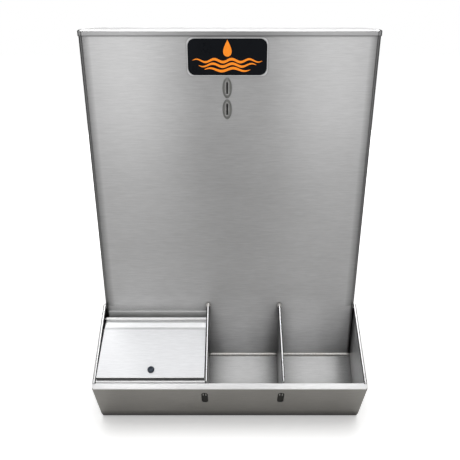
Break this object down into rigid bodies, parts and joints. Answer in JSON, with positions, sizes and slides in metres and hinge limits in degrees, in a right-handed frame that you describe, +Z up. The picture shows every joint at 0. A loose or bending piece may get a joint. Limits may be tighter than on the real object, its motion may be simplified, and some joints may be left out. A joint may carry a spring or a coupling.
{
  "type": "livestock medicator",
  "caption": "Tall stainless steel water tank with a hinged lid that feeds a divided drinking trough through a float valve under a hinged cover.",
  "frame": {"origin": "centre of the footprint on the ground, under the middle of the bounding box", "axes": "+Z up, +X to the right as the drinking animal's side is seen from the front, the drinking side faces -Y"},
  "size_m": [0.615, 0.4024, 0.866],
  "materials": {
    "brushed_stainless": "vertical and horizontal brushed grain",
    "dark_steel": "dull dark",
    "brass": "machined",
    "black_rubber": "matte",
    "float_plastic": "moulded",
    "badge_black": "plain decal plate, no lettering"
  },
  "bodies": {
    "frame": {"tank_wrap": "brushed_stainless", "tank_back": "brushed_stainless", "tank_floor": "brushed_stainless", "lid_hinge_leaf_left": "brushed_stainless", "lid_hinge_leaf_right": "brushed_stainless", "lid_hinge_pin_left": "brushed_stainless", "lid_hinge_pin_right": "brushed_stainless", "vent_plate_upper": "brushed_stainless", "vent_plate_lower": "brushed_stainless", "trough_pan": "brushed_stainless", "pan_weld_left": "brushed_stainless", "pan_weld_middle": "brushed_stainless", "pan_weld_right": "brushed_stainless", "slot_weld_left": "brushed_stainless", "slot_weld_right": "brushed_stainless", "end_plate_left": "brushed_stainless", "end_plate_right": "brushed_stainless", "divider_left": "brushed_stainless", "divider_right": "brushed_stainless", "cover_hinge_pin": "brushed_stainless", "cover_rest_strip": "brushed_stainless", "cover_nut": "brushed_stainless", "gate_hook_left": "brushed_stainless", "gate_hook_right": "brushed_stainless", "cover_backing_strip": "dark_steel", "valve_body": "brass", "valve_lock_nut": "brass", "lever_pin": "brass", "valve_gasket_outer": "black_rubber", "valve_gasket_inner": "black_rubber", "badge_plate": "badge_black"},
    "lid": {"lid": "brushed_stainless", "lid_hinge_flap_left": "brushed_stainless", "lid_hinge_flap_right": "brushed_stainless"},
    "cover": {"cover": "brushed_stainless"},
    "cover_screw": {"cover_screw": "dark_steel"},
    "float_arm": {"float_lever": "brass", "float_rod": "brass", "float_nut": "brass", "float": "float_plastic"},
    "plunger": {"valve_plunger": "brass", "plunger_washer": "black_rubber"}
  },
  "joints": [
    {"name": "lid_hinge", "type": "hinge", "parent": "frame", "child": "lid", "pos_m": [0, 0.15379, 0.8508], "axis": [-1, 0, 0], "range_deg": [0, 105]},
    {"name": "cover_hinge", "type": "hinge", "parent": "frame", "child": "cover", "pos_m": [-0.17825, -0.05411, 0.2135], "axis": [-1, 0, 0], "range_deg": [0, 124]},
    {"name": "cover_screw_turn", "type": "hinge", "parent": "cover", "child": "cover_screw", "pos_m": [-0.17825, -0.17162, 0.15407], "axis": [0, -0.474, 0.8805], "continuous": true},
    {"name": "float_lever_hinge", "type": "hinge", "parent": "frame", "child": "float_arm", "pos_m": [-0.17825, -0.06111, 0.1185], "axis": [-1, 0, 0], "range_deg": [0, 18]},
    {"name": "plunger_slide", "type": "slide", "parent": "frame", "child": "plunger", "axis": [0, 1, 0], "range_m": [0, 0.00235]}
  ],
  "couplings": [
    {"joint": "plunger_slide", "follows": "float_lever_hinge", "m_per_rad": 0.00745}
  ]
}
